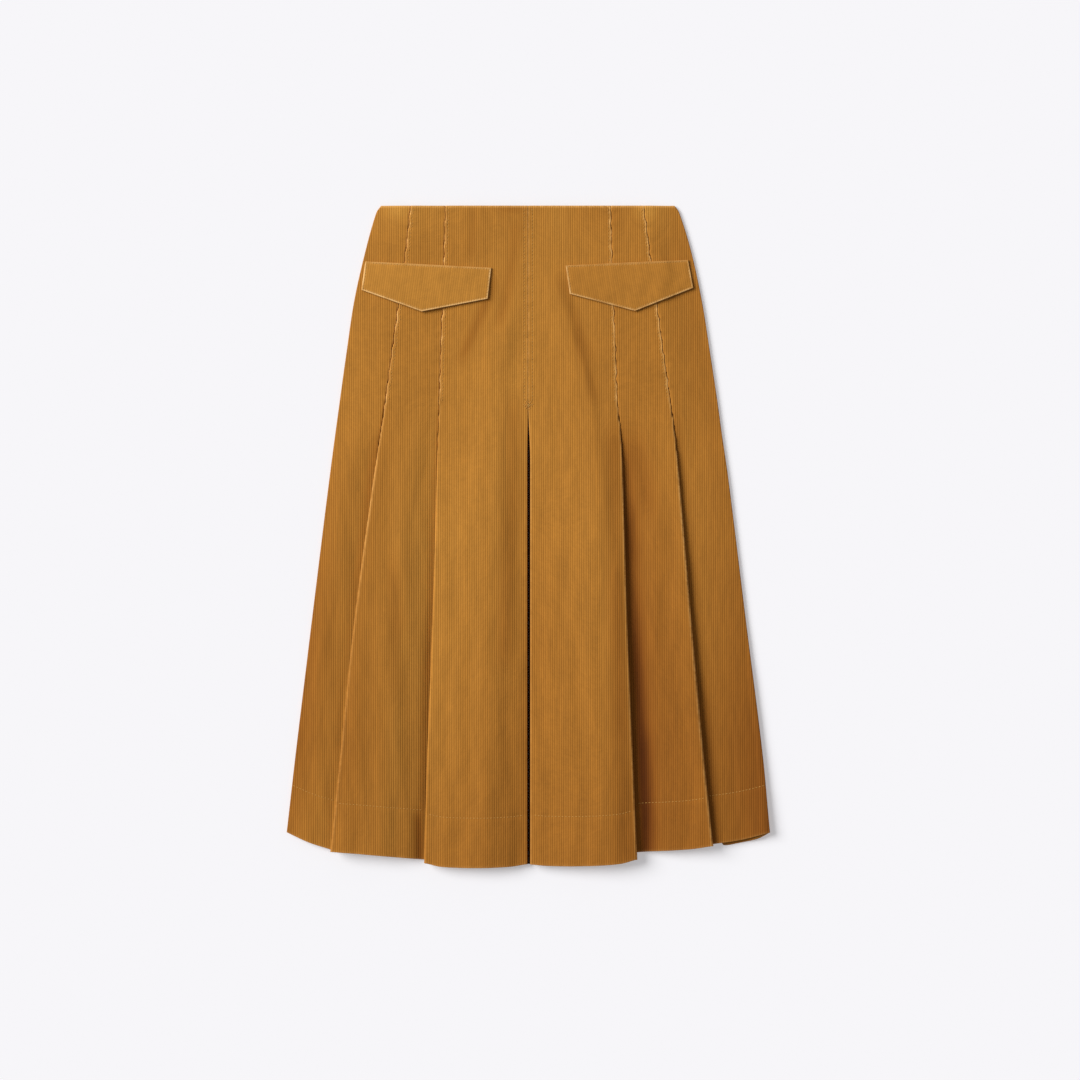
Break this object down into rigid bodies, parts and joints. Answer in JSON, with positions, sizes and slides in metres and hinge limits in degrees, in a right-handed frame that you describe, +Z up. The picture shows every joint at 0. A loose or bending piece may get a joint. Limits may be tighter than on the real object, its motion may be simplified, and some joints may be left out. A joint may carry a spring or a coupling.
{
  "type": "pleated skirt",
  "caption": "A-line midi skirt laid flat, its front folded into knife pleats beside a central inverted pleat, stitched down to the hip, with pointed pocket flaps.",
  "frame": {"origin": "on the surface the skirt lies on, under the centre front line, half way between the waist edge and the lowest point of the hem", "axes": "+Z up out of the garment's front, +Y from the hem to the waist, +X to the right of someone looking down at the front"},
  "size_m": [0.5842, 0.8, 0.017],
  "materials": {
    "corduroy": "caramel cotton corduroy, ribs along the length about 2.7 mm apart, soft short nap",
    "flap_corduroy": "the same corduroy doubled, ribs across the flap's long edge, edge-stitched"
  },
  "bodies": {
    "root": {"front_left": "corduroy", "front_right": "corduroy", "back_left": "corduroy", "back_right": "corduroy", "flap_left": "flap_corduroy", "flap_right": "flap_corduroy"}
  },
  "joints": []
}
